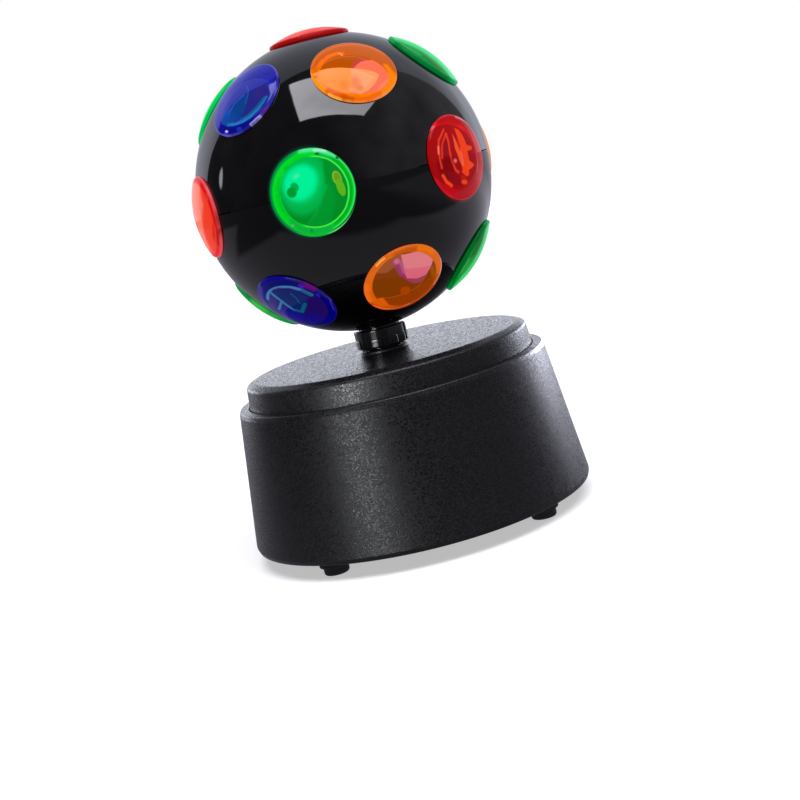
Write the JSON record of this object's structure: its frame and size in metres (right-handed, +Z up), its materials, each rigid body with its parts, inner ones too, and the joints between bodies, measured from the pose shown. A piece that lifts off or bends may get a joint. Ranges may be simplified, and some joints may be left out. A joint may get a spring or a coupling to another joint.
{
  "type": "led disco ball light",
  "caption": "Battery LED party light: a black ball with round red, green, blue and orange lenses turns on a hub above a round tapered black base on rubber feet.",
  "frame": {"origin": "on the ball's turning axis, in the plane the rubber feet stand on", "axes": "+Z up along the turning axis; +Y towards the back, where the switch is; +X to the right seen from the front"},
  "size_m": [0.1098, 0.1098, 0.1594],
  "materials": {
    "gloss_black": "polished",
    "grain_black": "fine grain",
    "rubber": "matte",
    "white_plastic": "moulded",
    "natural_plastic": "moulded",
    "steel": "plated",
    "brass": "turned",
    "cell_jacket": "printed foil, plain",
    "board": "solder mask",
    "led_clear": "clear",
    "wire": "flexible insulation",
    "lens_red": "clear tinted",
    "lens_green": "clear tinted",
    "lens_blue": "clear tinted",
    "lens_orange": "clear tinted"
  },
  "bodies": {
    "base": {"base_housing": "grain_black", "base_cap": "grain_black", "bottom_plate": "grain_black", "motor_deck": "natural_plastic", "motor_gearbox": "white_plastic", "led_holder": "white_plastic", "shaft_bush": "brass", "thrust_washer": "brass", "motor_can": "steel", "switch_body": "steel", "lamp_stem": "steel", "led_board": "board", "control_board": "board", "led_cluster": "led_clear", "led_lead": "wire", "foot_1": "rubber", "battery_contact_1": "steel", "foot_2": "rubber", "battery_contact_2": "steel", "foot_3": "rubber", "battery_contact_3": "steel", "foot_4": "rubber", "battery_contact_4": "steel", "bottom_screw_1": "steel", "battery_cell_1": "cell_jacket", "bottom_screw_2": "steel", "battery_cell_2": "cell_jacket", "bottom_screw_3": "steel", "battery_cell_3": "cell_jacket", "deck_screw_1": "steel", "motor_screw_1": "steel", "deck_screw_2": "steel", "motor_screw_2": "steel"},
    "ball": {"ball_upper_shell": "gloss_black", "ball_lower_shell": "gloss_black", "ball_hub": "gloss_black", "collar_ring": "gloss_black", "drive_gear": "white_plastic", "lens_top": "lens_red", "lens_upper_1": "lens_orange", "lens_upper_2": "lens_green", "lens_upper_3": "lens_blue", "lens_upper_4": "lens_orange", "lens_upper_5": "lens_green", "lens_upper_6": "lens_blue", "lens_middle_1": "lens_green", "lens_middle_2": "lens_red", "lens_middle_3": "lens_orange", "lens_middle_4": "lens_red", "lens_middle_5": "lens_blue", "lens_middle_6": "lens_red", "lens_lower_1": "lens_orange", "lens_lower_2": "lens_green", "lens_lower_3": "lens_blue", "lens_lower_4": "lens_orange", "lens_lower_5": "lens_green", "lens_lower_6": "lens_blue"},
    "pinion": {"motor_pinion": "brass"},
    "door": {"battery_door": "grain_black"},
    "knob": {"switch_knob": "gloss_black"}
  },
  "joints": [
    {"name": "ball_spin", "type": "hinge", "parent": "base", "child": "ball", "pos_m": [0, 0, 0.1113], "axis": [0, 0, 1], "continuous": true},
    {"name": "pinion_spin", "type": "hinge", "parent": "base", "child": "pinion", "pos_m": [0.024, 0, 0.05], "axis": [0, 0, 1], "continuous": true},
    {"name": "battery_door_hinge", "type": "hinge", "parent": "base", "child": "door", "pos_m": [0, -0.03175, 0.00642], "axis": [-1, 0, 0], "range_deg": [0, 75]},
    {"name": "switch_slide", "type": "slide", "parent": "base", "child": "knob", "axis": [1, 0, 0], "range_m": [0, 0.004]}
  ],
  "couplings": [
    {"joint": "pinion_spin", "follows": "ball_spin", "ratio": -3}
  ]
}
